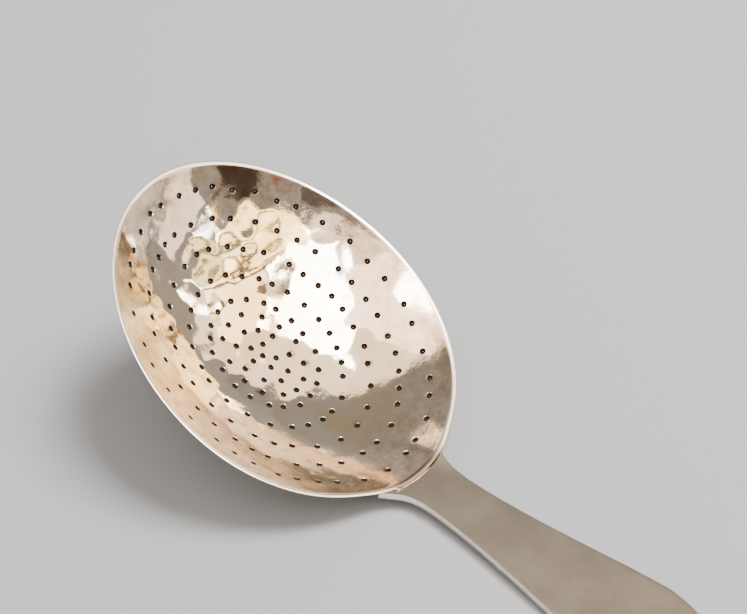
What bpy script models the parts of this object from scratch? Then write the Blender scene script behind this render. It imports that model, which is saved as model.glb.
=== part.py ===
"""A hand-made julep strainer: an oval pierced bowl with a flat paddle handle soldered to its rim.

The object is drawn in the bowl's own frame, with the rim in the plane z = 0 and the handle along +X.
An empty then tips it to the way it lies on a table: on the bowl's belly and the handle's end.
Lengths are in metres and angles in degrees. World +Z is up, and the origin is under the middle.
"""

import math
import random

import bmesh
import bpy
from mathutils import Matrix, Vector

# Bowl: an oval dish raised from sheet, a little fuller towards the handle.
BOWL_LENGTH = 0.0908
BOWL_WIDTH = 0.0727
BOWL_DEPTH = 0.0194
SHEET_THICKNESS = 0.0009
RIM_LAND = 0.00095
WALL_POWER = 2.33
FULLNESS_TO_HANDLE = 0.051
BOWL_RINGS = 12
BOWL_SEGMENTS = 64

# Lip: the rim stands proud of the oval where the handle is soldered on.
LIP_REACH = 0.0012
LIP_HALF_WIDTH = 0.0125
LIP_WALL_POWER = 6

# Holes: one in the middle, close rings over the belly and wider rings up the wall.
HOLE_DIAMETER = 0.00150
HOLE_SIDES = 8
BELLY_RING_COUNTS = (5, 9, 13, 20)
BELLY_RING_PITCH = 0.0037
WALL_RING_COUNTS = (26, 30, 36, 39)
WALL_RING_PITCH = 0.0062
RING_STRETCH = 0.012
DRILL_LENGTH = 0.0040
DRILL_WANDER_ALONG = 0.28
DRILL_WANDER_ACROSS = 0.00035
DRILL_SEED = 7

# Handle: a flat strip, narrow behind the rim and flaring to a round-ended paddle.
HANDLE_LENGTH = 0.0770
HANDLE_THICKNESS = 0.0016
HANDLE_RISE_DEG = 25.5
NECK_WIDTH = 0.0116
PADDLE_WIDTH = 0.0235
PADDLE_FROM_RIM = 0.0580
PADDLE_SWELL_POWER = 2.1
PADDLE_SWELL_FIRST = 1.55
ROOT_FLARE = 0.0022
ROOT_FLARE_REACH = 0.0030
HANDLE_EDGE_ROUND = 0.00035
HANDLE_SIDE_POINTS = 30
HANDLE_CAP_POINTS = 18
HANDLE_ROOT_POINTS = 12

# Solder: a bead under the joint between the rim and the handle's root.
SOLDER_RADIUS = 0.0005
SOLDER_HALF_SPAN = 0.0070
SOLDER_SETBACK = 0.00005
SOLDER_DROP = 0.00125
SOLDER_POINTS = 13

TOUCHING_GAP = 0.0003
STEEPEST_TILT_DEG = 45
TILT_HALVINGS = 30

SEMI_LENGTH = BOWL_LENGTH / 2
SEMI_WIDTH = BOWL_WIDTH / 2
INNER_SEMI_LENGTH = SEMI_LENGTH - RIM_LAND
INNER_DEPTH = BOWL_DEPTH - SHEET_THICKNESS


def clear_scene():
    for obj in list(bpy.data.objects):
        bpy.data.objects.remove(obj, do_unlink=True)


def new_collection(name):
    collection = bpy.data.collections.new(name)
    bpy.context.scene.collection.children.link(collection)
    return collection


def metal(name, colour, roughness):
    material = bpy.data.materials.new(name)
    material.use_nodes = True
    shader = material.node_tree.nodes["Principled BSDF"]
    shader.inputs["Base Color"].default_value = (*colour, 1.0)
    shader.inputs["Metallic"].default_value = 1.0
    shader.inputs["Roughness"].default_value = roughness
    return material


def object_from(bm, name, collection):
    mesh = bpy.data.meshes.new(name)
    bm.to_mesh(mesh)
    bm.free()
    obj = bpy.data.objects.new(name, mesh)
    collection.objects.link(obj)
    return obj


def oval(point):
    """Press a point of a round dish, turned about Z, into the strainer's oval with its lip."""
    x = point.x
    y = point.y * SEMI_WIDTH / SEMI_LENGTH * (1 + FULLNESS_TO_HANDLE * x / SEMI_LENGTH)
    share = math.hypot(point.x, point.y) / SEMI_LENGTH
    if x > 0:
        x += LIP_REACH * share**LIP_WALL_POWER * math.exp(-((y / LIP_HALF_WIDTH) ** 4))
    return Vector((x, y, point.z))


def inner_point(radius, angle):
    """A point of the inner face, at a radius of the round dish; angle 0 is the handle's side."""
    depth = INNER_DEPTH * (1 - (radius / INNER_SEMI_LENGTH) ** WALL_POWER)
    return oval(Vector((radius * math.cos(angle), radius * math.sin(angle), -depth)))


def inner_normal(radius, angle):
    """The inner face's upward normal, from short steps along the face."""
    step = 0.0001
    if radius < step:
        return Vector((0, 0, 1))
    outward = inner_point(radius + step, angle) - inner_point(radius - step, angle)
    turn = step / radius
    around = inner_point(radius, angle + turn) - inner_point(radius, angle - turn)
    return outward.cross(around).normalized()


def rim_x(y):
    """How far out the rim's outer edge stands at y, on the handle's side."""
    low_angle = 0.0
    high_angle = math.pi / 2
    for _ in range(TILT_HALVINGS):
        angle = (low_angle + high_angle) / 2
        edge = oval(Vector((SEMI_LENGTH * math.cos(angle), SEMI_LENGTH * math.sin(angle), 0)))
        if edge.y < abs(y):
            low_angle = angle
        else:
            high_angle = angle
    return edge.x


def make_bowl(collection):
    """Turn the wall's section once round, then press the round dish to an oval."""
    section = []
    for ring in range(BOWL_RINGS + 1):
        share = ring / BOWL_RINGS
        section.append((SEMI_LENGTH * share, -BOWL_DEPTH * (1 - share**WALL_POWER)))
    for ring in range(BOWL_RINGS, -1, -1):
        share = ring / BOWL_RINGS
        section.append((INNER_SEMI_LENGTH * share, -INNER_DEPTH * (1 - share**WALL_POWER)))
    bm = bmesh.new()
    verts = [bm.verts.new((radius, 0, height)) for radius, height in section]
    edges = [bm.edges.new(pair) for pair in zip(verts, verts[1:])]
    bmesh.ops.spin(
        bm,
        geom=verts + edges,
        cent=(0, 0, 0),
        axis=(0, 0, 1),
        angle=math.tau,
        steps=BOWL_SEGMENTS,
    )
    bmesh.ops.remove_doubles(bm, verts=bm.verts, dist=1e-6)
    for vert in bm.verts:
        vert.co = oval(vert.co)
    bmesh.ops.recalc_face_normals(bm, faces=bm.faces)
    return object_from(bm, "strainer_bowl", collection)


def hole_places():
    """Radius and angle of each hole, ring by ring, with the small wander of drilling by hand."""
    wander = random.Random(DRILL_SEED)
    places = [(0.0, 0.0)]
    rings = [(count, BELLY_RING_PITCH) for count in BELLY_RING_COUNTS]
    rings += [(count, WALL_RING_PITCH) for count in WALL_RING_COUNTS]
    ring_radius = 0.0
    for count, pitch in rings:
        ring_radius += pitch
        spaces = [1 + wander.uniform(-DRILL_WANDER_ALONG, DRILL_WANDER_ALONG) for _ in range(count)]
        angle = wander.uniform(0, math.tau)
        for space in spaces:
            angle += space * math.tau / sum(spaces)
            radius = ring_radius * (1 + RING_STRETCH * math.cos(2 * angle))
            radius += wander.uniform(-DRILL_WANDER_ACROSS, DRILL_WANDER_ACROSS)
            places.append((radius, angle))
    return places


def make_drills(collection):
    """One straight pin for each hole, square to the wall that it goes through."""
    bm = bmesh.new()
    for radius, angle in hole_places():
        turn = inner_normal(radius, angle).to_track_quat("Z", "Y").to_matrix().to_4x4()
        bmesh.ops.create_cone(
            bm,
            cap_ends=True,
            segments=HOLE_SIDES,
            radius1=HOLE_DIAMETER / 2,
            radius2=HOLE_DIAMETER / 2,
            depth=DRILL_LENGTH,
            matrix=Matrix.Translation(inner_point(radius, angle)) @ turn,
        )
    drills = object_from(bm, "hole_drills", collection)
    drills.hide_render = True
    drills.display_type = "WIRE"
    return drills


def handle_half_width(s):
    """Half the handle's width at s along it from the rim, up to the paddle's widest place."""
    share = max(0.0, min(1.0, s / PADDLE_FROM_RIM))
    swell = PADDLE_SWELL_FIRST - (PADDLE_SWELL_FIRST - 1) * share**2
    swell *= share**PADDLE_SWELL_POWER
    flare = ROOT_FLARE * math.exp(-max(0.0, s / ROOT_FLARE_REACH))
    return (NECK_WIDTH + (PADDLE_WIDTH - NECK_WIDTH) * swell) / 2 + flare


def handle_outline():
    """The handle's plan in its own plane: x along it from the rim's tip, y across it."""
    slope = math.cos(math.radians(HANDLE_RISE_DEG))
    root_half = handle_half_width(0.0)
    root = []
    for step in range(HANDLE_ROOT_POINTS + 1):
        y = root_half * (2 * step / HANDLE_ROOT_POINTS - 1)
        root.append(((rim_x(y) - rim_x(0) + TOUCHING_GAP) / slope, y))
    side = []
    for step in range(1, HANDLE_SIDE_POINTS + 1):
        s = PADDLE_FROM_RIM * step / HANDLE_SIDE_POINTS
        side.append((s, handle_half_width(s)))
    cap = []
    cap_length = HANDLE_LENGTH - PADDLE_FROM_RIM
    for step in range(1, HANDLE_CAP_POINTS):
        turn = math.pi * step / HANDLE_CAP_POINTS
        cap.append((PADDLE_FROM_RIM + cap_length * math.sin(turn), PADDLE_WIDTH / 2 * math.cos(turn)))
    other_side = [(s, -half) for s, half in reversed(side)]
    return root + side + cap + other_side


def make_handle(collection):
    """A flat outline extruded to the strip's thickness, with its edges eased."""
    curve = bpy.data.curves.new("handle_outline", "CURVE")
    curve.dimensions = "2D"
    curve.fill_mode = "BOTH"
    curve.extrude = HANDLE_THICKNESS / 2
    outline = handle_outline()
    spline = curve.splines.new("POLY")
    spline.points.add(len(outline) - 1)
    for point, (x, y) in zip(spline.points, outline):
        point.co = (x, y, 0, 1)
    spline.use_cyclic_u = True
    flat = bpy.data.objects.new("handle_outline", curve)
    collection.objects.link(flat)
    evaluated = flat.evaluated_get(bpy.context.evaluated_depsgraph_get())
    bm = bmesh.new()
    bm.from_mesh(bpy.data.meshes.new_from_object(evaluated))
    bpy.data.objects.remove(flat)
    bmesh.ops.remove_doubles(bm, verts=bm.verts, dist=1e-6)
    bmesh.ops.translate(bm, vec=(0, 0, -HANDLE_THICKNESS / 2), verts=bm.verts)
    handle = object_from(bm, "handle", collection)
    handle.location = (rim_x(0), 0, 0)
    handle.rotation_euler = (0, -math.radians(HANDLE_RISE_DEG), 0)
    ease = handle.modifiers.new("eased_edges", "BEVEL")
    ease.width = HANDLE_EDGE_ROUND
    ease.segments = 2
    ease.limit_method = "ANGLE"
    ease.angle_limit = math.radians(60)
    return handle


def make_solder(collection):
    """A bead that follows the rim, in the angle under the joint."""
    curve = bpy.data.curves.new("solder_bead", "CURVE")
    curve.dimensions = "3D"
    curve.bevel_depth = SOLDER_RADIUS
    curve.bevel_resolution = 2
    curve.use_fill_caps = True
    spline = curve.splines.new("POLY")
    spline.points.add(SOLDER_POINTS - 1)
    for index, point in enumerate(spline.points):
        y = SOLDER_HALF_SPAN * (2 * index / (SOLDER_POINTS - 1) - 1)
        point.co = (rim_x(y) - SOLDER_SETBACK, y, -SOLDER_DROP, 1)
    solder = bpy.data.objects.new("solder_bead", curve)
    collection.objects.link(solder)
    return solder


def surface_points(piece):
    """The corners of a piece's finished mesh, before the strainer is tipped."""
    bpy.context.view_layer.update()
    evaluated = piece.evaluated_get(bpy.context.evaluated_depsgraph_get())
    mesh = evaluated.to_mesh()
    points = [evaluated.matrix_world @ vert.co for vert in mesh.vertices]
    evaluated.to_mesh_clear()
    return points


def lie_on_table(stand, bowl, handle):
    """Tip the strainer until belly and handle touch the table, and put the origin under its middle."""
    belly = surface_points(bowl)
    grip = surface_points(handle)
    low_tilt = 0.0
    high_tilt = math.radians(STEEPEST_TILT_DEG)
    for _ in range(TILT_HALVINGS):
        tilt = (low_tilt + high_tilt) / 2
        turn = Matrix.Rotation(tilt, 3, "Y")
        belly_height = min((turn @ point).z for point in belly)
        if min((turn @ point).z for point in grip) > belly_height:
            low_tilt = tilt
        else:
            high_tilt = tilt
    stand.rotation_euler = (0, tilt, 0)
    points = [turn @ point for point in belly + grip]
    low = [min(point[axis] for point in points) for axis in range(3)]
    high = [max(point[axis] for point in points) for axis in range(3)]
    stand.location = (-(low[0] + high[0]) / 2, -(low[1] + high[1]) / 2, -low[2])


def main():
    clear_scene()
    parts = new_collection("julep_strainer")
    cutters = new_collection("cutters")
    polished = metal("polished_silver", (0.83, 0.76, 0.69), 0.12)
    satin = metal("satin_silver", (0.56, 0.51, 0.45), 0.38)
    solder_metal = metal("silver_solder", (0.78, 0.75, 0.72), 0.25)

    bowl = make_bowl(parts)
    drills = make_drills(cutters)
    pierce = bowl.modifiers.new("pierced_holes", "BOOLEAN")
    pierce.operation = "DIFFERENCE"
    pierce.solver = "EXACT"
    pierce.object = drills
    bowl.data.materials.append(polished)
    bowl.data.shade_smooth()
    bowl.data.set_sharp_from_angle(angle=math.radians(30))

    handle = make_handle(parts)
    handle.data.materials.append(satin)
    solder = make_solder(parts)
    solder.data.materials.append(solder_metal)

    stand = bpy.data.objects.new("rest_on_table", None)
    parts.objects.link(stand)
    for piece in (bowl, handle, solder, drills):
        piece.parent = stand
    lie_on_table(stand, bowl, handle)


main()
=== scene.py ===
"""A hand-made julep strainer in silver: a pierced, planished bowl with a flat handle soldered to its rim.

Lengths are in metres and angles in degrees. Each piece is drawn in the bowl's own frame, with the rim in
the plane z = 0 and the handle along +X, and is then tipped to the way that the strainer lies on a table.
"""

import math
import random

import bpy
from mathutils import Matrix, Vector
from mathutils.kdtree import KDTree


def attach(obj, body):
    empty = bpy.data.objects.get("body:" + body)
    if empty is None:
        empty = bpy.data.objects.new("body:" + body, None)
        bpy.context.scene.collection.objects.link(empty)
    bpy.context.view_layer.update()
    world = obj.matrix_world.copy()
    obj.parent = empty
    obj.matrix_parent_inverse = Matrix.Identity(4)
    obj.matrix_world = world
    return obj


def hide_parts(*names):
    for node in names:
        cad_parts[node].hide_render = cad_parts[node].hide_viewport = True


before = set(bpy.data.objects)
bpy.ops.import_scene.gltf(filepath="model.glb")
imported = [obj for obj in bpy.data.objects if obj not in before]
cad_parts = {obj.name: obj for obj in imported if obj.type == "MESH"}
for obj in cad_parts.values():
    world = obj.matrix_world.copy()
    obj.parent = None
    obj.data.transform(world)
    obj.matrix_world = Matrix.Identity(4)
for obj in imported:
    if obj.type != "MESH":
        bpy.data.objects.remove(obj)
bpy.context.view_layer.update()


# ---------------------------------------------------------------------------------------------------------
# Bowl. Silver sheet, 0.9 mm thick, hammered over a stake to an oval dish and planished with small blows.
# Its rim is filed flat and stands a little proud where the handle is soldered on. The holes are drilled by
# hand in rings, each square to the wall, and lightly countersunk from the inside.
# ---------------------------------------------------------------------------------------------------------
REST_TILT_DEG = 26.7961
REST_PLACE = Vector((-0.0390335, 0, 0.0243749))
BOWL_LENGTH = 0.0908
BOWL_WIDTH = 0.0727
BOWL_DEPTH = 0.0194
SHEET_THICKNESS = 0.0009
RIM_LAND = 0.00095
RIM_EASE = 0.00040
WALL_POWER = 2.33
FULLNESS_TO_HANDLE = 0.051
BOWL_RINGS = 56
BOWL_SEGMENTS = 320
LIP_REACH = 0.0012
LIP_HALF_WIDTH = 0.0125
LIP_WALL_POWER = 6
SEMI_LENGTH = BOWL_LENGTH / 2
SEMI_WIDTH = BOWL_WIDTH / 2
INNER_SEMI_LENGTH = SEMI_LENGTH - RIM_LAND
INNER_DEPTH = BOWL_DEPTH - SHEET_THICKNESS
HAMMER_MARK = 0.0046
HAMMER_DEPTH = 0.00044
HAMMER_LEAST = 0.22
HAMMER_SMOOTHING = 4
SHEET_WAVE = 0.0160
SHEET_WAVE_DEPTH = 0.00045
WAVE_FADE = 0.0080
HOLE_DIAMETER = 0.00150
COUNTERSINK = 0.00004
BELLY_RING_COUNTS = (5, 9, 13, 20)
BELLY_RING_PITCH = 0.0037
WALL_RING_COUNTS = (26, 30, 36, 39)
WALL_RING_PITCH = 0.0062
RING_STRETCH = 0.012
DRILL_WANDER_ALONG = 0.28
DRILL_WANDER_ACROSS = 0.00035
DRILL_SEED = 7
DRILL_SIDES = 20
DRILL_APPROACH = 0.0020
DRILL_POINT = 0.0005
DRILL_SHANK = 0.0012
STAIN_SEED = 3
STAIN_REACH = 0.0013
STAIN_DRIFT = 0.0005
STAIN_RARITY = 1.2
HOLE_WAIST = 0.13
rest_pose = Matrix.Translation(REST_PLACE) @ Matrix.Rotation(math.radians(REST_TILT_DEG), 4, "Y")


def deselect_all():
    bpy.ops.object.select_all(action="DESELECT")


def pick(piece, kind, wanted):
    """Select just the wanted vertices, edges or faces of a piece, and go into edit mode."""
    deselect_all()
    bpy.context.view_layer.objects.active = piece
    bpy.ops.object.mode_set(mode="EDIT")
    bpy.ops.mesh.select_mode(type=kind)
    bpy.ops.mesh.select_all(action="DESELECT")
    bpy.ops.object.mode_set(mode="OBJECT")
    kinds = {"VERT": piece.data.vertices, "EDGE": piece.data.edges, "FACE": piece.data.polygons}
    for element in kinds[kind]:
        element.select = wanted(element)
    bpy.ops.object.mode_set(mode="EDIT")


def finish_mesh(piece, smooth_deg):
    """Apply the piece's modifiers, tip it to its rest on the table and put its place in its mesh."""
    deselect_all()
    bpy.context.view_layer.objects.active = piece
    piece.select_set(True)
    for modifier in list(piece.modifiers):
        bpy.ops.object.modifier_apply(modifier=modifier.name)
    piece.matrix_world = rest_pose @ piece.matrix_world
    bpy.ops.object.transform_apply(location=True, rotation=True, scale=True)
    bpy.ops.object.shade_smooth_by_angle(angle=math.radians(smooth_deg))


def oval(point):
    """Press a point of a round dish, turned about Z, into the strainer's oval with its lip."""
    x = point.x
    y = point.y * SEMI_WIDTH / SEMI_LENGTH * (1 + FULLNESS_TO_HANDLE * x / SEMI_LENGTH)
    share = math.hypot(point.x, point.y) / SEMI_LENGTH
    if x > 0:
        x += LIP_REACH * share**LIP_WALL_POWER * math.exp(-((y / LIP_HALF_WIDTH) ** 4))
    return Vector((x, y, point.z))


def inner_point(radius, angle):
    """A point of the inner face, at a radius of the round dish; angle 0 is the handle's side."""
    depth = INNER_DEPTH * (1 - (radius / INNER_SEMI_LENGTH) ** WALL_POWER)
    return oval(Vector((radius * math.cos(angle), radius * math.sin(angle), -depth)))


def inner_normal(radius, angle):
    """The inner face's upward normal, from short steps along the face."""
    step = 0.0001
    if radius < step:
        return Vector((0, 0, 1))
    outward = inner_point(radius + step, angle) - inner_point(radius - step, angle)
    turn = step / radius
    around = inner_point(radius, angle + turn) - inner_point(radius, angle - turn)
    return outward.cross(around).normalized()


def rim_x(y):
    """How far out the rim's outer edge stands at y, on the handle's side."""
    low_angle = 0.0
    high_angle = math.pi / 2
    for _ in range(30):
        angle = (low_angle + high_angle) / 2
        edge = oval(Vector((SEMI_LENGTH * math.cos(angle), SEMI_LENGTH * math.sin(angle), 0)))
        if edge.y < abs(y):
            low_angle = angle
        else:
            high_angle = angle
    return edge.x


def hole_places():
    """Radius and angle of each hole, ring by ring, with the small wander of drilling by hand."""
    wander = random.Random(DRILL_SEED)
    places = [(0.0, 0.0)]
    rings = [(count, BELLY_RING_PITCH) for count in BELLY_RING_COUNTS]
    rings += [(count, WALL_RING_PITCH) for count in WALL_RING_COUNTS]
    ring_radius = 0.0
    for count, pitch in rings:
        ring_radius += pitch
        spaces = [1 + wander.uniform(-DRILL_WANDER_ALONG, DRILL_WANDER_ALONG) for _ in range(count)]
        angle = wander.uniform(0, math.tau)
        for space in spaces:
            angle += space * math.tau / sum(spaces)
            radius = ring_radius * (1 + RING_STRETCH * math.cos(2 * angle))
            radius += wander.uniform(-DRILL_WANDER_ACROSS, DRILL_WANDER_ACROSS)
            places.append((radius, angle))
    return places


# The wall's section is drawn point by point, out along the underside and back along the inside, then spun.
section = []
for ring in range(BOWL_RINGS + 1):
    share = ring / BOWL_RINGS
    section.append(Vector((SEMI_LENGTH * share, 0, -BOWL_DEPTH * (1 - share**WALL_POWER))))
for ring in range(BOWL_RINGS, -1, -1):
    share = ring / BOWL_RINGS
    section.append(Vector((INNER_SEMI_LENGTH * share, 0, -INNER_DEPTH * (1 - share**WALL_POWER))))

deselect_all()
bpy.ops.mesh.primitive_plane_add(size=SHEET_THICKNESS, location=section[0])
bowl = bpy.context.object
bowl.name = "pierced_bowl"
bpy.ops.object.transform_apply(location=True, rotation=True, scale=True)
bpy.ops.object.mode_set(mode="EDIT")
bpy.ops.mesh.select_all(action="SELECT")
bpy.ops.mesh.merge(type="CENTER")
for start, end in zip(section, section[1:]):
    bpy.ops.mesh.extrude_region_move(TRANSFORM_OT_translate={"value": end - start})
bpy.ops.mesh.select_all(action="SELECT")
bpy.ops.mesh.spin(steps=BOWL_SEGMENTS, angle=math.tau, center=(0, 0, 0), axis=(0, 0, 1))
bpy.ops.mesh.select_all(action="SELECT")
bpy.ops.mesh.remove_doubles(threshold=1e-6)
bpy.ops.mesh.normals_make_consistent(inside=False)
bpy.ops.object.mode_set(mode="OBJECT")


def on_rim_corner(edge):
    start, end = [bowl.data.vertices[index].co for index in edge.vertices]
    at_rim = abs(start.z) < 1e-6 and abs(end.z) < 1e-6
    return at_rim and abs(start.xy.length - end.xy.length) < 1e-6


pick(bowl, "EDGE", on_rim_corner)
bpy.ops.mesh.bevel(offset=RIM_EASE, segments=6)
bpy.ops.object.mode_set(mode="OBJECT")
for vert in bowl.data.vertices:
    vert.co = oval(vert.co)
bowl.data.update()

# Planishing: small blows leave shallow facets on both faces, which fade out towards the filed rim.
planished = bowl.vertex_groups.new(name="planished")
for vert in bowl.data.vertices:
    weight = max(0.0, min(1.0, -vert.co.z / WAVE_FADE))
    away = max(0.0, min(1.0, 0.5 - vert.co.x / SEMI_LENGTH))
    weight *= HAMMER_LEAST + (1 - HAMMER_LEAST) * away
    planished.add([vert.index], weight, "REPLACE")
blows = bpy.data.textures.new("hammer_marks", "VORONOI")
blows.noise_scale = HAMMER_MARK
blows.distance_metric = "DISTANCE_SQUARED"
dents = bowl.modifiers.new("hammer_marks", "DISPLACE")
dents.texture = blows
dents.texture_coords = "LOCAL"
dents.direction = "NORMAL"
dents.vertex_group = "planished"
dents.strength = -HAMMER_DEPTH
soften = bowl.modifiers.new("soft_facet_edges", "SMOOTH")
soften.factor = 0.5
soften.iterations = HAMMER_SMOOTHING
soften.vertex_group = "planished"
waves = bpy.data.textures.new("sheet_waves", "CLOUDS")
waves.noise_scale = SHEET_WAVE
sway = bowl.modifiers.new("sheet_waves", "DISPLACE")
sway.texture = waves
sway.texture_coords = "LOCAL"
sway.direction = "NORMAL"
sway.vertex_group = "planished"
sway.strength = SHEET_WAVE_DEPTH

# One drill is modelled, copied to each place and joined to cut all the holes at once. It is waisted, and
# its faces are painted shade, near black, to darken the holes; its silver shoulder leaves a fine
# countersink.
deselect_all()
bpy.ops.mesh.primitive_cylinder_add(
    vertices=DRILL_SIDES,
    radius=HOLE_DIAMETER / 2,
    depth=SHEET_THICKNESS / 2,
    location=(0, 0, -SHEET_THICKNESS / 4),
)
drill = bpy.context.object
bpy.ops.object.transform_apply(location=True, rotation=True, scale=True)
bowl.data.materials.append(bpy.data.materials.new("planished_silver"))
drill.data.materials.append(bpy.data.materials.new("painted_hole_shade"))
drill.data.materials.append(bowl.data.materials[0])
pick(drill, "FACE", lambda face: face.normal.z < -0.9)
bpy.ops.transform.resize(value=(HOLE_WAIST, HOLE_WAIST, 1))
bpy.ops.mesh.extrude_region_move(TRANSFORM_OT_translate={"value": (0, 0, -SHEET_THICKNESS / 2)})
bpy.ops.transform.resize(value=(1 / HOLE_WAIST, 1 / HOLE_WAIST, 1))
bpy.ops.mesh.extrude_region_move(TRANSFORM_OT_translate={"value": (0, 0, -DRILL_POINT)})
bpy.ops.object.mode_set(mode="OBJECT")
pick(drill, "FACE", lambda face: face.normal.z > 0.9)
bpy.ops.transform.translate(value=(0, 0, -COUNTERSINK))
bpy.ops.mesh.extrude_region_move(TRANSFORM_OT_translate={"value": (0, 0, 2 * COUNTERSINK)})
flare = 1 + 2 * COUNTERSINK / (HOLE_DIAMETER / 2)
bpy.ops.transform.resize(value=(flare, flare, 1))
bpy.ops.mesh.extrude_region_move(TRANSFORM_OT_translate={"value": (0, 0, DRILL_SHANK)})
bpy.ops.object.mode_set(mode="OBJECT")
for face in drill.data.polygons:
    if abs(face.center.z) < COUNTERSINK / 2:
        face.material_index = 1
drills = []
bpy.context.view_layer.update()
for radius, angle in hole_places():
    copy = drill.copy()
    copy.data = drill.data.copy()
    bpy.context.collection.objects.link(copy)
    normal = inner_normal(radius, angle)
    turn = normal.to_track_quat("Z", "Y").to_matrix().to_4x4()
    _, spot, _, _ = bowl.ray_cast(inner_point(radius, angle) + normal * DRILL_APPROACH, -normal)
    copy.matrix_world = Matrix.Translation(spot) @ turn
    drills.append(copy)
bpy.data.objects.remove(drill)
deselect_all()
for copy in drills:
    copy.select_set(True)
bpy.context.view_layer.objects.active = drills[0]
bpy.ops.object.join()
drills = bpy.context.object

pierce = bowl.modifiers.new("holes", "BOOLEAN")
pierce.operation = "DIFFERENCE"
pierce.solver = "MANIFOLD"
pierce.object = drills
pierce.material_mode = "TRANSFER"
finish_mesh(bowl, 30)
bpy.data.objects.remove(drills)

# Tarnish has crept from some holes over the metal beside them.
stain_of_hole = random.Random(STAIN_SEED)
stains = []
for radius, angle in hole_places():
    smudge = Vector([stain_of_hole.uniform(-STAIN_DRIFT, STAIN_DRIFT) for _ in range(3)])
    strength = max(0.0, stain_of_hole.uniform(-STAIN_RARITY, 1.0))
    stains.append((rest_pose @ inner_point(radius, angle) + smudge, strength))
finder = KDTree(len(stains))
for index, (centre, _) in enumerate(stains):
    finder.insert(centre, index)
finder.balance()
stain = bowl.data.attributes.new("stain", "FLOAT", "POINT")
for vert in bowl.data.vertices:
    _, index, distance = finder.find(vert.co)
    stain.data[vert.index].value = stains[index][1] * math.exp(-((distance / STAIN_REACH) ** 2))

silver = bpy.data.materials["planished_silver"]
silver.use_nodes = True
nodes = silver.node_tree.nodes
links = silver.node_tree.links
shader = nodes["Principled BSDF"]
shader.location = (700, 0)
shader.inputs["Metallic"].default_value = 1.0
nodes["Material Output"].location = (1000, 0)

place = nodes.new("ShaderNodeTexCoord")
place.label = "place on the bowl"
place.location = (-1500, 0)
upright = nodes.new("ShaderNodeMapping")
upright.label = "set the rim level"
upright.location = (-1300, 0)
upright.vector_type = "TEXTURE"
upright.inputs["Location"].default_value = REST_PLACE
upright.inputs["Rotation"].default_value = (0, math.radians(REST_TILT_DEG), 0)
links.new(place.outputs["Object"], upright.inputs["Vector"])

tarnish_frame = nodes.new("NodeFrame")
tarnish_frame.label = "warm tarnish in drifts"
drift = nodes.new("ShaderNodeTexNoise")
drift.label = "drifts of tarnish"
drift.parent = tarnish_frame
drift.location = (-1000, 400)
drift.inputs["Scale"].default_value = 55
drift.inputs["Detail"].default_value = 3
drift.inputs["Distortion"].default_value = 0.8
drift_ramp = nodes.new("ShaderNodeValToRGB")
drift_ramp.label = "clean silver to straw colour"
drift_ramp.parent = tarnish_frame
drift_ramp.location = (-800, 400)
drift_ramp.color_ramp.elements[0].position = 0.38
drift_ramp.color_ramp.elements[0].color = (0.93, 0.83, 0.70, 1)
drift_ramp.color_ramp.elements[1].position = 0.68
drift_ramp.color_ramp.elements[1].color = (0.89, 0.70, 0.46, 1)
links.new(upright.outputs["Vector"], drift.inputs["Vector"])
links.new(drift.outputs["Fac"], drift_ramp.inputs["Fac"])

band_frame = nodes.new("NodeFrame")
band_frame.label = "browner mottling up the wall"
level = nodes.new("ShaderNodeSeparateXYZ")
level.label = "height below the rim"
level.parent = band_frame
level.location = (-1000, 100)
band = nodes.new("ShaderNodeMapRange")
band.label = "more towards the rim"
band.parent = band_frame
band.location = (-800, 100)
band.inputs["From Min"].default_value = -0.014
band.inputs["From Max"].default_value = -0.004
mottle = nodes.new("ShaderNodeTexNoise")
mottle.label = "mottled spots"
mottle.parent = band_frame
mottle.location = (-1000, -100)
mottle.inputs["Scale"].default_value = 330
mottle.inputs["Detail"].default_value = 6
mottle.inputs["Roughness"].default_value = 0.68
spots = nodes.new("ShaderNodeMapRange")
spots.label = "only the darker spots"
spots.parent = band_frame
spots.location = (-800, -100)
spots.inputs["From Min"].default_value = 0.38
spots.inputs["From Max"].default_value = 0.64
banded = nodes.new("ShaderNodeMath")
banded.label = "spots on the wall"
banded.operation = "MULTIPLY"
banded.parent = band_frame
banded.location = (-600, 0)
browned = nodes.new("ShaderNodeMix")
browned.label = "browned silver"
browned.data_type = "RGBA"
browned.location = (-300, 250)
browned.inputs["B"].default_value = (0.62, 0.48, 0.33, 1)
links.new(upright.outputs["Vector"], level.inputs["Vector"])
links.new(level.outputs["Z"], band.inputs["Value"])
links.new(upright.outputs["Vector"], mottle.inputs["Vector"])
links.new(mottle.outputs["Fac"], spots.inputs["Value"])
links.new(band.outputs["Result"], banded.inputs[0])
links.new(spots.outputs["Result"], banded.inputs[1])
links.new(banded.outputs["Value"], browned.inputs["Factor"])
links.new(drift_ramp.outputs["Color"], browned.inputs["A"])

filed_frame = nodes.new("NodeFrame")
filed_frame.label = "filed rim, rubbed bright"
filed = nodes.new("ShaderNodeMapRange")
filed.label = "only on the rim"
filed.parent = filed_frame
filed.location = (-300, 0)
filed.inputs["From Min"].default_value = -0.0005
filed.inputs["From Max"].default_value = -0.0002
rim_silver = nodes.new("ShaderNodeMix")
rim_silver.label = "bright silver on the rim"
rim_silver.data_type = "RGBA"
rim_silver.parent = filed_frame
rim_silver.location = (-50, 150)

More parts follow.
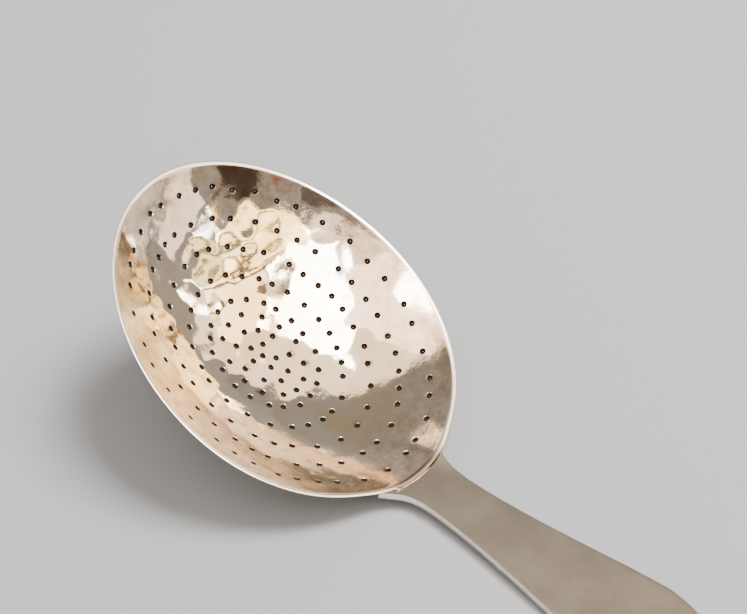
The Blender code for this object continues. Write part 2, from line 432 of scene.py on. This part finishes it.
stain_frame = nodes.new("NodeFrame")
stain_frame.label = "dark stains beside some holes"
stain_here = nodes.new("ShaderNodeAttribute")
stain_here.label = "how stained"
stain_here.parent = stain_frame
stain_here.location = (-1000, 700)
stain_here.attribute_name = "stain"
ragged = nodes.new("ShaderNodeTexNoise")
ragged.label = "ragged edge of a stain"
ragged.parent = stain_frame
ragged.location = (-1000, 900)
ragged.inputs["Scale"].default_value = 1100
ragged.inputs["Detail"].default_value = 3
patchy = nodes.new("ShaderNodeMath")
patchy.label = "patchy"
patchy.operation = "MULTIPLY"
patchy.parent = stain_frame
patchy.location = (-800, 800)
patchy_range = nodes.new("ShaderNodeMapRange")
patchy_range.label = "only the heart of a stain"
patchy_range.parent = stain_frame
patchy_range.location = (-600, 800)
patchy_range.inputs["From Min"].default_value = 0.16
patchy_range.inputs["From Max"].default_value = 0.42
patchy_range.inputs["To Max"].default_value = 0.8
stained = nodes.new("ShaderNodeMix")
stained.label = "stained silver"
stained.data_type = "RGBA"
stained.parent = stain_frame
stained.location = (-300, 700)
stained.inputs["B"].default_value = (0.22, 0.13, 0.075, 1)
links.new(upright.outputs["Vector"], ragged.inputs["Vector"])
links.new(stain_here.outputs["Fac"], patchy.inputs[0])
links.new(ragged.outputs["Fac"], patchy.inputs[1])
links.new(patchy.outputs["Value"], patchy_range.inputs["Value"])
links.new(patchy_range.outputs["Result"], stained.inputs["Factor"])
links.new(browned.outputs["Result"], stained.inputs["A"])

heated = nodes.new("ShaderNodeMapRange")
heated.label = "darkened by the torch at the joint"
heated.parent = filed_frame
heated.location = (-300, 450)
heated.inputs["From Min"].default_value = 0.0440
heated.inputs["From Max"].default_value = 0.0453
heated_silver = nodes.new("ShaderNodeMix")
heated_silver.label = "rim colour by the joint"
heated_silver.data_type = "RGBA"
heated_silver.parent = filed_frame
heated_silver.location = (-200, 250)
heated_silver.inputs["A"].default_value = (0.96, 0.91, 0.85, 1)
heated_silver.inputs["B"].default_value = (0.27, 0.21, 0.165, 1)
links.new(level.outputs["X"], heated.inputs["Value"])
links.new(heated.outputs["Result"], heated_silver.inputs["Factor"])
links.new(heated_silver.outputs["Result"], rim_silver.inputs["B"])
links.new(level.outputs["Z"], filed.inputs["Value"])
links.new(filed.outputs["Result"], rim_silver.inputs["Factor"])
links.new(stained.outputs["Result"], rim_silver.inputs["A"])
links.new(rim_silver.outputs["Result"], shader.inputs["Base Color"])

gloss_frame = nodes.new("NodeFrame")
gloss_frame.label = "polish, rubbed unevenly"
haze = nodes.new("ShaderNodeTexNoise")
haze.label = "patches of haze"
haze.parent = gloss_frame
haze.location = (-600, -350)
haze.inputs["Scale"].default_value = 140
haze.inputs["Detail"].default_value = 4
polish = nodes.new("ShaderNodeMapRange")
polish.label = "bright polish to light haze"
polish.parent = gloss_frame
polish.location = (-400, -350)
polish.inputs["From Min"].default_value = 0.35
polish.inputs["From Max"].default_value = 0.7
polish.inputs["To Min"].default_value = 0.04
polish.inputs["To Max"].default_value = 0.12
links.new(upright.outputs["Vector"], haze.inputs["Vector"])
links.new(haze.outputs["Fac"], polish.inputs["Value"])
dull_side = nodes.new("ShaderNodeMapRange")
dull_side.label = "duller on the -Y side"
dull_side.parent = gloss_frame
dull_side.location = (-600, -550)
dull_side.inputs["From Min"].default_value = -0.018
dull_side.inputs["From Max"].default_value = -0.027
dull_wall = nodes.new("ShaderNodeMath")
dull_wall.label = "duller up that wall"
dull_wall.operation = "MULTIPLY"
dull_wall.parent = gloss_frame
dull_wall.location = (-400, -550)
dull_amount = nodes.new("ShaderNodeMath")
dull_amount.label = "how dull"
dull_amount.operation = "MULTIPLY_ADD"
dull_amount.parent = gloss_frame
dull_amount.location = (-200, -450)
dull_amount.inputs[1].default_value = 0.30
links.new(level.outputs["Y"], dull_side.inputs["Value"])
links.new(dull_side.outputs["Result"], dull_wall.inputs[0])
links.new(band.outputs["Result"], dull_wall.inputs[1])
links.new(dull_wall.outputs["Value"], dull_amount.inputs[0])
links.new(polish.outputs["Result"], dull_amount.inputs[2])
rim_rough = nodes.new("ShaderNodeMix")
rim_rough.label = "file marks on the rim"
rim_rough.parent = gloss_frame
rim_rough.location = (0, -350)
rim_rough.inputs["B"].default_value = 0.22
links.new(filed.outputs["Result"], rim_rough.inputs["Factor"])
links.new(dull_amount.outputs["Value"], rim_rough.inputs["A"])
links.new(rim_rough.outputs["Result"], shader.inputs["Roughness"])

bump_frame = nodes.new("NodeFrame")
bump_frame.label = "fine marks of use"
grit = nodes.new("ShaderNodeTexNoise")
grit.label = "fine pits and scuffs"
grit.parent = bump_frame
grit.location = (0, -500)
grit.inputs["Scale"].default_value = 900
grit.inputs["Detail"].default_value = 4
scuffs = nodes.new("ShaderNodeBump")
scuffs.label = "scuffed surface"
scuffs.parent = bump_frame
scuffs.location = (250, -500)
scuffs.inputs["Strength"].default_value = 0.08
scuffs.inputs["Distance"].default_value = 0.0002
links.new(upright.outputs["Vector"], grit.inputs["Vector"])
links.new(grit.outputs["Fac"], scuffs.inputs["Height"])
links.new(scuffs.outputs["Normal"], shader.inputs["Normal"])

# Painted shade in the holes: the hole walls and the waist in each hole are near black with a little brown.
hole_shade = bpy.data.materials["painted_hole_shade"]
hole_shade.use_nodes = True
nodes = hole_shade.node_tree.nodes
links = hole_shade.node_tree.links
shader = nodes["Principled BSDF"]
shader.inputs["Roughness"].default_value = 1.0
shader.inputs["Specular IOR Level"].default_value = 0.0
shader.location = (300, 0)
nodes["Material Output"].location = (600, 0)
place = nodes.new("ShaderNodeTexCoord")
place.label = "place on the bowl"
place.location = (-500, 0)
hole_shade_noise = nodes.new("ShaderNodeTexNoise")
hole_shade_noise.label = "painted shade in the holes"
hole_shade_noise.location = (-300, 0)
hole_shade_noise.inputs["Scale"].default_value = 600
hole_shade_ramp = nodes.new("ShaderNodeValToRGB")
hole_shade_ramp.label = "black to brown painted shade"
hole_shade_ramp.location = (-100, 0)
hole_shade_ramp.color_ramp.elements[0].color = (0.006, 0.005, 0.004, 1)
hole_shade_ramp.color_ramp.elements[1].color = (0.034, 0.022, 0.015, 1)
links.new(place.outputs["Object"], hole_shade_noise.inputs["Vector"])
links.new(hole_shade_noise.outputs["Fac"], hole_shade_ramp.inputs["Fac"])
links.new(hole_shade_ramp.outputs["Color"], shader.inputs["Base Color"])
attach(bowl, "root")
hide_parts("strainer_bowl")


# ---------------------------------------------------------------------------------------------------------
# Handle. A flat strip of the same silver, 1.6 mm thick, cut narrow behind the rim and flaring to a paddle
# with a round end. Its edges are eased with a file and its faces are left satin from fine abrasive.
# ---------------------------------------------------------------------------------------------------------
HANDLE_LENGTH = 0.0770
HANDLE_THICKNESS = 0.0016
HANDLE_RISE_DEG = 25.5
NECK_WIDTH = 0.0116
PADDLE_WIDTH = 0.0235
PADDLE_FROM_RIM = 0.0580
PADDLE_SWELL_POWER = 2.1
PADDLE_SWELL_FIRST = 1.55
ROOT_FLARE = 0.0022
ROOT_FLARE_REACH = 0.0030
ROOT_SPUR = 0.0031
ROOT_SPUR_REACH = 0.0012
ROOT_ARC_FADE = 0.0080
HANDLE_EDGE_ROUND = 0.00055
HANDLE_ROWS = 180
HANDLE_COLUMNS = 24
SIDE_SHARE = 0.78
TOUCHING_GAP = 0.0001
FACE_WAVE = 0.0110
FACE_WAVE_DEPTH = 0.00012


def handle_half_width(s):
    """Half the handle's width at s along it from the rim, up to the paddle's widest place."""
    share = max(0.0, min(1.0, s / PADDLE_FROM_RIM))
    swell = PADDLE_SWELL_FIRST - (PADDLE_SWELL_FIRST - 1) * share**2
    swell *= share**PADDLE_SWELL_POWER
    flare = ROOT_FLARE * math.exp(-max(0.0, s / ROOT_FLARE_REACH))
    return (NECK_WIDTH + (PADDLE_WIDTH - NECK_WIDTH) * swell) / 2 + flare


def handle_point(along, across):
    """A point of the flat handle, for shares from 0 to 1 along it and from -1 to 1 across it."""
    if along < SIDE_SHARE:
        s = PADDLE_FROM_RIM * along / SIDE_SHARE
        y = across * handle_half_width(s)
        y += min(0.0, across) * ROOT_SPUR * math.exp(-s / ROOT_SPUR_REACH)
    else:
        turn = (along - SIDE_SHARE) / (1 - SIDE_SHARE) * math.pi / 2
        s = PADDLE_FROM_RIM + (HANDLE_LENGTH - PADDLE_FROM_RIM) * math.sin(turn)
        y = across * PADDLE_WIDTH / 2 * math.cos(turn)
    fade = max(0.0, 1 - s / ROOT_ARC_FADE)
    arc = (rim_x(y) - rim_x(0) + TOUCHING_GAP) / math.cos(math.radians(HANDLE_RISE_DEG))
    lift = -arc * math.tan(math.radians(HANDLE_RISE_DEG))
    return Vector((s + arc * fade, y, lift * fade))


deselect_all()
bpy.ops.mesh.primitive_grid_add(x_subdivisions=HANDLE_ROWS, y_subdivisions=HANDLE_COLUMNS, size=2)
handle = bpy.context.object
handle.name = "satin_handle"
for vert in handle.data.vertices:
    vert.co = handle_point((vert.co.x + 1) / 2, vert.co.y)
bpy.ops.object.mode_set(mode="EDIT")
bpy.ops.mesh.select_all(action="SELECT")
bpy.ops.mesh.remove_doubles(threshold=1e-6)
bpy.ops.mesh.normals_make_consistent(inside=False)
bpy.ops.object.mode_set(mode="OBJECT")
if handle.data.polygons[0].normal.z < 0:
    handle.data.flip_normals()
strip = handle.modifiers.new("strip_thickness", "SOLIDIFY")
strip.thickness = HANDLE_THICKNESS
strip.offset = -1
ease = handle.modifiers.new("filed_edges", "BEVEL")
ease.width = HANDLE_EDGE_ROUND
ease.segments = 4
ease.limit_method = "ANGLE"
ease.angle_limit = math.radians(50)
uneven = bpy.data.textures.new("uneven_faces", "CLOUDS")
uneven.noise_scale = FACE_WAVE
rubbed = handle.modifiers.new("uneven_faces", "DISPLACE")
rubbed.texture = uneven
rubbed.texture_coords = "LOCAL"
rubbed.direction = "Z"
rubbed.strength = FACE_WAVE_DEPTH
handle.matrix_world = Matrix.Translation((rim_x(0), 0, 0)) @ Matrix.Rotation(
    -math.radians(HANDLE_RISE_DEG), 4, "Y"
)
finish_mesh(handle, 30)

satin = bpy.data.materials.new("satin_silver")
satin.use_nodes = True
nodes = satin.node_tree.nodes
links = satin.node_tree.links
shader = nodes["Principled BSDF"]
shader.location = (700, 0)
shader.inputs["Metallic"].default_value = 1.0
nodes["Material Output"].location = (1000, 0)

place = nodes.new("ShaderNodeTexCoord")
place.label = "place on the handle"
place.location = (-1300, 0)

bloom_frame = nodes.new("NodeFrame")
bloom_frame.label = "grey bloom of handling"
bloom = nodes.new("ShaderNodeTexNoise")
bloom.label = "cloudy bloom"
bloom.parent = bloom_frame
bloom.location = (-900, 300)
bloom.inputs["Scale"].default_value = 90
bloom.inputs["Detail"].default_value = 5
bloom.inputs["Roughness"].default_value = 0.6
bloom_ramp = nodes.new("ShaderNodeValToRGB")
bloom_ramp.label = "warm grey to light silver"
bloom_ramp.parent = bloom_frame
bloom_ramp.location = (-700, 300)
bloom_ramp.color_ramp.elements[0].position = 0.36
bloom_ramp.color_ramp.elements[0].color = (0.268, 0.236, 0.196, 1)
bloom_ramp.color_ramp.elements[1].position = 0.68
bloom_ramp.color_ramp.elements[1].color = (0.352, 0.318, 0.270, 1)
links.new(place.outputs["Object"], bloom.inputs["Vector"])
links.new(bloom.outputs["Fac"], bloom_ramp.inputs["Fac"])

# The edges and sides, where the metal faces away from up, are worn bright silver and also carry a painted
# highlight in their colour.
edge_frame = nodes.new("NodeFrame")
edge_frame.label = "edges rubbed bright by the hand, with a painted highlight"
facing = nodes.new("ShaderNodeSeparateXYZ")
facing.label = "which way the metal faces"
facing.parent = edge_frame
facing.location = (-700, 650)
edge = nodes.new("ShaderNodeMapRange")
edge.label = "only the rounded edges"
edge.parent = edge_frame
edge.location = (-450, 650)
edge.inputs["From Min"].default_value = 0.97
edge.inputs["From Max"].default_value = 0.80
edge_wear_and_highlight = nodes.new("ShaderNodeMix")
edge_wear_and_highlight.label = "worn silver and painted highlight on the edges"
edge_wear_and_highlight.data_type = "RGBA"
edge_wear_and_highlight.parent = edge_frame
edge_wear_and_highlight.location = (-200, 500)
edge_wear_and_highlight.inputs["B"].default_value = (0.93, 0.85, 0.79, 1)
edge_rough = nodes.new("ShaderNodeMix")
edge_rough.label = "smoother edges"
edge_rough.parent = edge_frame
edge_rough.location = (-200, 250)
edge_rough.inputs["B"].default_value = 0.26
links.new(place.outputs["Normal"], facing.inputs["Vector"])
links.new(facing.outputs["Z"], edge.inputs["Value"])
links.new(edge.outputs["Result"], edge_wear_and_highlight.inputs["Factor"])
links.new(edge.outputs["Result"], edge_rough.inputs["Factor"])
links.new(bloom_ramp.outputs["Color"], edge_wear_and_highlight.inputs["A"])
links.new(edge_wear_and_highlight.outputs["Result"], shader.inputs["Base Color"])

grain_frame = nodes.new("NodeFrame")
grain_frame.label = "fine abrasive marks along the strip"
along = nodes.new("ShaderNodeMapping")
along.label = "draw the marks out lengthways"
along.parent = grain_frame
along.location = (-900, -200)
along.inputs["Scale"].default_value = (500, 5200, 5200)
grain = nodes.new("ShaderNodeTexNoise")
grain.label = "abrasive marks"
grain.parent = grain_frame
grain.location = (-700, -200)
grain.inputs["Scale"].default_value = 1.0
grain.inputs["Detail"].default_value = 5
satin_range = nodes.new("ShaderNodeMapRange")
satin_range.label = "satin, duller in the marks"
satin_range.parent = grain_frame
satin_range.location = (-450, -100)
satin_range.inputs["From Min"].default_value = 0.3
satin_range.inputs["From Max"].default_value = 0.7
satin_range.inputs["To Min"].default_value = 0.36
satin_range.inputs["To Max"].default_value = 0.42
marks = nodes.new("ShaderNodeBump")
marks.label = "depth of the marks"
marks.parent = grain_frame
marks.location = (-450, -350)
marks.inputs["Strength"].default_value = 0.03
marks.inputs["Distance"].default_value = 0.0001
links.new(place.outputs["Object"], along.inputs["Vector"])
links.new(along.outputs["Vector"], grain.inputs["Vector"])
links.new(grain.outputs["Fac"], satin_range.inputs["Value"])
links.new(grain.outputs["Fac"], marks.inputs["Height"])
links.new(satin_range.outputs["Result"], edge_rough.inputs["A"])
links.new(edge_rough.outputs["Result"], shader.inputs["Roughness"])
links.new(marks.outputs["Normal"], shader.inputs["Normal"])

handle.data.materials.append(satin)
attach(handle, "root")
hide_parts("handle")


# ---------------------------------------------------------------------------------------------------------
# Solder. Silver solder run into the joint between the rim and the handle's root. It fills most of the seam,
# stops short at one corner and is heaped up in a small bright fillet at the other.
# ---------------------------------------------------------------------------------------------------------
SOLDER_POINTS = 40
SOLDER_HALF_SPAN = 0.0076
SOLDER_RADIUS = 0.00042
SOLDER_DROP = 0.00036
SOLDER_SEED = 11
SOLDER_STANDS_OUT = 0.00005
SOLDER_UNEVEN = 0.06
HEAP_SHARE = 0.09
HEAP_LIFT = 0.00045
HEAP_SWELL = 0.5
STARVED_SHARE = 0.22
STARVED_SINK = 0.00030
STARVED_THINNING = 0.45

run = random.Random(SOLDER_SEED)
deselect_all()
bpy.ops.curve.primitive_nurbs_path_add(location=(0, 0, 0))
solder = bpy.context.object
solder.name = "solder_seam"
solder.data.splines.clear()
solder.data.bevel_depth = SOLDER_RADIUS
solder.data.bevel_resolution = 4
solder.data.use_fill_caps = True
seam = solder.data.splines.new("POLY")
seam.points.add(SOLDER_POINTS - 1)
for index, point in enumerate(seam.points):
    share = index / (SOLDER_POINTS - 1)
    y = SOLDER_HALF_SPAN * (2 * share - 1)
    heap = math.exp(-((share / HEAP_SHARE) ** 2))
    starved = math.exp(-(((1 - share) / STARVED_SHARE) ** 2))
    drop = SOLDER_DROP - HEAP_LIFT * heap + STARVED_SINK * starved
    point.co = (rim_x(y) + SOLDER_STANDS_OUT, y, -drop, 1)
    uneven_run = run.uniform(-SOLDER_UNEVEN, SOLDER_UNEVEN)
    point.radius = 1 + HEAP_SWELL * heap - STARVED_THINNING * starved + uneven_run
bpy.ops.object.convert(target="MESH")
finish_mesh(solder, 40)

flow = bpy.data.materials.new("silver_solder")
flow.use_nodes = True
nodes = flow.node_tree.nodes
links = flow.node_tree.links
shader = nodes["Principled BSDF"]
shader.location = (500, 0)
shader.inputs["Metallic"].default_value = 1.0
nodes["Material Output"].location = (800, 0)
place = nodes.new("ShaderNodeTexCoord")
place.label = "place on the seam"
place.location = (-700, 0)
flux = nodes.new("ShaderNodeTexNoise")
flux.label = "traces of flux"
flux.location = (-500, 0)
flux.inputs["Scale"].default_value = 700
flux.inputs["Detail"].default_value = 4
flux_ramp = nodes.new("ShaderNodeValToRGB")
flux_ramp.label = "bright solder to flux brown"
flux_ramp.location = (-300, 100)
flux_ramp.color_ramp.elements[0].position = 0.45
flux_ramp.color_ramp.elements[0].color = (0.78, 0.68, 0.60, 1)
flux_ramp.color_ramp.elements[1].position = 0.72
flux_ramp.color_ramp.elements[1].color = (0.42, 0.31, 0.24, 1)
flux_rough = nodes.new("ShaderNodeMapRange")
flux_rough.label = "duller where flux is left"
flux_rough.location = (-300, -200)
flux_rough.inputs["To Min"].default_value = 0.14
flux_rough.inputs["To Max"].default_value = 0.4
links.new(place.outputs["Object"], flux.inputs["Vector"])
links.new(flux.outputs["Fac"], flux_ramp.inputs["Fac"])
links.new(flux.outputs["Fac"], flux_rough.inputs["Value"])
across_seam = nodes.new("ShaderNodeSeparateXYZ")
across_seam.label = "place along the seam"
across_seam.location = (-500, 350)
groove = nodes.new("ShaderNodeMapRange")
groove.label = "starved towards the +Y corner"
groove.location = (-300, 350)
groove.inputs["From Min"].default_value = 0.0010
groove.inputs["From Max"].default_value = 0.0035
# Painted shade: the seam is coloured near black towards the +Y corner, where the solder stops short and
# leaves a groove.
groove_shade = nodes.new("ShaderNodeMix")
groove_shade.label = "painted shade in the groove where solder is short"
groove_shade.data_type = "RGBA"
groove_shade.location = (0, 250)
groove_shade.inputs["B"].default_value = (0.030, 0.021, 0.015, 1)
links.new(place.outputs["Object"], across_seam.inputs["Vector"])
links.new(across_seam.outputs["Y"], groove.inputs["Value"])
links.new(groove.outputs["Result"], groove_shade.inputs["Factor"])
links.new(flux_ramp.outputs["Color"], groove_shade.inputs["A"])
links.new(groove_shade.outputs["Result"], shader.inputs["Base Color"])
links.new(flux_rough.outputs["Result"], shader.inputs["Roughness"])
solder.data.materials.append(flow)
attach(solder, "root")
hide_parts("solder_bead")


# ---------------------------------------------------------------------------------------------------------
# Studio. A pale paper sweep on the table, a key softbox behind to cast the shadow, and a broad soft fill.
# Polished silver shows all that is round it, so its bright and dark are drawn by lit panels, tan slats and
# small dark cards. The camera does not see them, and they light and shade nothing but the silver.
# ---------------------------------------------------------------------------------------------------------
FLOOR_SIZE = 24.0
KEY_SIZE = 0.45
KEY_PLACE = Vector((0.06, 0.48, 1.02))
KEY_POWER = 36
FILL_SIZE = 24.0
FILL_HEIGHT = 4.0
FILL_POWER = 1200
PANEL_HEIGHT = 0.74
PANEL_STEP = 0.005
SLAT_HEIGHT = 0.66
CARD_DISTANCE = 0.75
LOW_PANEL_SIZE = (0.66, 0.20)
LOW_PANEL_RADIANCE = 1.9
LOW_PANEL_PLACE = Vector((0.71, 0.41, 0.135))
LOW_PANEL_AIM = Vector((0, 0, 0.03))
ROOM_LOW = (0.50, 0.45, 0.41)
ROOM_HIGH = (0.385, 0.350, 0.318)

deselect_all()
bpy.ops.mesh.primitive_plane_add(size=FLOOR_SIZE, location=(0, 0, 0))
floor = bpy.context.object
floor.name = "floor"
paper = bpy.data.materials.new("pale_paper")
paper.use_nodes = True
shader = paper.node_tree.nodes["Principled BSDF"]
shader.inputs["Base Color"].default_value = (0.27, 0.27, 0.273, 1)
shader.inputs["Roughness"].default_value = 0.8
floor.data.materials.append(paper)

bpy.ops.object.light_add(type="AREA", location=KEY_PLACE)
key = bpy.context.object
key.name = "key_softbox"
key.data.size = KEY_SIZE
key.data.energy = KEY_POWER
key.visible_glossy = False
key.visible_camera = False
key.rotation_euler = (-KEY_PLACE).to_track_quat("-Z", "Y").to_euler()

bpy.ops.object.light_add(type="AREA", location=(0, 0, FILL_HEIGHT))
fill = bpy.context.object
fill.name = "fill_softbox"
fill.data.size = FILL_SIZE
fill.data.energy = FILL_POWER
fill.visible_glossy = False
fill.visible_camera = False

# Panels lie flat overhead, each a step lower than the last, so that later ones cover earlier ones: name,
# centre across the table, length and width, turn, colour, radiance.
panels = [
    ("ceiling_panel", (0.225, 0.03), (2.60, 0.90), 64, (1.0, 0.77, 0.56), 2.1),
    ("wide_panel", (0.28, -0.93), (1.40, 1.26), 8, (1.0, 0.81, 0.68), 2.1),
    ("warm_panel", (1.32, -0.46), (1.06, 1.25), 8, (1.0, 0.80, 0.33), 5.0),
    ("amber_panel", (0.92, 0.46), (1.36, 0.80), 14, (1.0, 0.78, 0.38), 2.8),
    ("west_panel", (-0.80, 0.19), (0.09, 0.26), 0, (1.0, 0.74, 0.50), 2.5),
    ("window_panel", (1.87, 0.23), (0.78, 0.34), 6, (1.0, 1.0, 0.97), 10.0),
    ("far_window_panel", (0.93, 1.07), (0.44, 0.18), 49, (1.0, 1.0, 1.0), 10.0),
    ("strip_panel", (0.38, -0.52), (1.30, 0.44), -62, (1.0, 1.0, 1.0), 16.0),
    ("side_panel", (-0.27, -0.90), (0.38, 0.34), 0, (1.0, 1.0, 1.0), 14.0),
]
for index, (name, place, size, turn, colour, radiance) in enumerate(panels):
    height = PANEL_HEIGHT - PANEL_STEP * index
    bpy.ops.object.light_add(
        type="AREA", location=(*place, height), rotation=(0, 0, math.radians(turn))
    )
    panel = bpy.context.object
    panel.name = name
    panel.visible_camera = False
    panel.visible_diffuse = False
    panel.data.shape = "RECTANGLE"
    panel.data.size = size[0]
    panel.data.size_y = size[1]
    panel.data.color = colour
    panel.data.energy = radiance * math.pi * size[0] * size[1]

# A low upright panel shows in the wall that faces the handle.
bpy.ops.object.light_add(type="AREA", location=LOW_PANEL_PLACE)
low_panel = bpy.context.object
low_panel.name = "low_panel"
low_panel.rotation_euler = (LOW_PANEL_AIM - LOW_PANEL_PLACE).to_track_quat("-Z", "Y").to_euler()
low_panel.visible_camera = False
low_panel.visible_diffuse = False
low_panel.data.shape = "RECTANGLE"
low_panel.data.size = LOW_PANEL_SIZE[0]
low_panel.data.size_y = LOW_PANEL_SIZE[1]
low_panel.data.color = (1.0, 0.84, 0.72)
low_panel.data.energy = LOW_PANEL_RADIANCE * math.pi * LOW_PANEL_SIZE[0] * LOW_PANEL_SIZE[1]


def felt(name, colour):
    """The matt felt of a slat or a card."""
    cloth = bpy.data.materials.new(name)
    cloth.use_nodes = True
    shader = cloth.node_tree.nodes["Principled BSDF"]
    shader.inputs["Base Color"].default_value = (*colour, 1)
    shader.inputs["Roughness"].default_value = 0.9
    return cloth


# Tan slats hang flat below the warm panels and break up their reflection: centre, length and width, turn.
slats = [
    ((0.58, 0.22), (1.10, 0.090), 82),
    ((0.84, 0.16), (1.30, 0.080), 78),
    ((1.16, 0.00), (1.60, 0.130), 84),
    ((1.66, -0.25), (1.50, 0.160), 80),
]
slat_felt = felt("slat_felt", (0.62, 0.42, 0.25))
for place, size, turn in slats:
    deselect_all()
    bpy.ops.mesh.primitive_plane_add(
        size=1, location=(*place, SLAT_HEIGHT), rotation=(0, 0, math.radians(turn))
    )
    slat = bpy.context.object
    slat.name = "slat"
    slat.scale = (*size, 1)
    slat.visible_camera = False
    slat.visible_diffuse = False
    slat.visible_shadow = False
    slat.data.materials.append(slat_felt)

# Cards stand upright round the table: name, bearing, width, lowest and highest edge, colour.
cards = [
    ("dark_card", -19.5, 0.31, 0.02, 0.235, (0.016, 0.007, 0.005)),
    ("red_card", -40.5, 0.08, 0.13, 0.20, (0.20, 0.060, 0.040)),
    ("grey_card", -58, 0.20, 0.18, 0.29, (0.06, 0.045, 0.038)),
]
for name, bearing_deg, width, low, high, colour in cards:
    bearing = math.radians(bearing_deg)
    deselect_all()
    bpy.ops.mesh.primitive_plane_add(
        size=1,
        location=(CARD_DISTANCE * math.cos(bearing), CARD_DISTANCE * math.sin(bearing), (low + high) / 2),
        rotation=(math.pi / 2, 0, bearing - math.pi / 2),
    )
    card = bpy.context.object
    card.name = name
    card.scale = (width, high - low, 1)
    card.visible_camera = False
    card.visible_diffuse = False
    card.visible_shadow = False
    card.data.materials.append(felt(name, colour))

world = bpy.data.worlds.new("room")
bpy.context.scene.world = world
world.use_nodes = True
nodes = world.node_tree.nodes
links = world.node_tree.links
outlook = nodes.new("ShaderNodeTexCoord")
outlook.label = "direction into the room"
outlook.location = (-900, 0)
height = nodes.new("ShaderNodeSeparateXYZ")
height.label = "height above the horizon"
height.location = (-700, 0)
walls = nodes.new("ShaderNodeValToRGB")
walls.label = "light walls to a dim ceiling"
walls.location = (-500, 0)
walls.color_ramp.elements[0].position = 0.50
walls.color_ramp.elements[0].color = (*ROOM_LOW, 1)
walls.color_ramp.elements[1].position = 0.62
walls.color_ramp.elements[1].color = (*ROOM_HIGH, 1)
links.new(outlook.outputs["Generated"], height.inputs["Vector"])
links.new(height.outputs["Z"], walls.inputs["Fac"])
links.new(walls.outputs["Color"], nodes["Background"].inputs["Color"])


# ---------------------------------------------------------------------------------------------------------
# View. The camera looks down at the bowl from its near side. The handle runs out of the lower corner.
# ---------------------------------------------------------------------------------------------------------
CAMERA_PLACE = (0.15818, -0.18429, 0.27191)
CAMERA_TURN_DEG = (47.853, 0.251, 42.455)
CAMERA_TURN = [math.radians(turn) for turn in CAMERA_TURN_DEG]
CAMERA_LENS = 77.76

deselect_all()
bpy.ops.object.camera_add(location=CAMERA_PLACE, rotation=CAMERA_TURN)
camera = bpy.context.object
camera.data.lens = CAMERA_LENS
bpy.context.scene.camera = camera

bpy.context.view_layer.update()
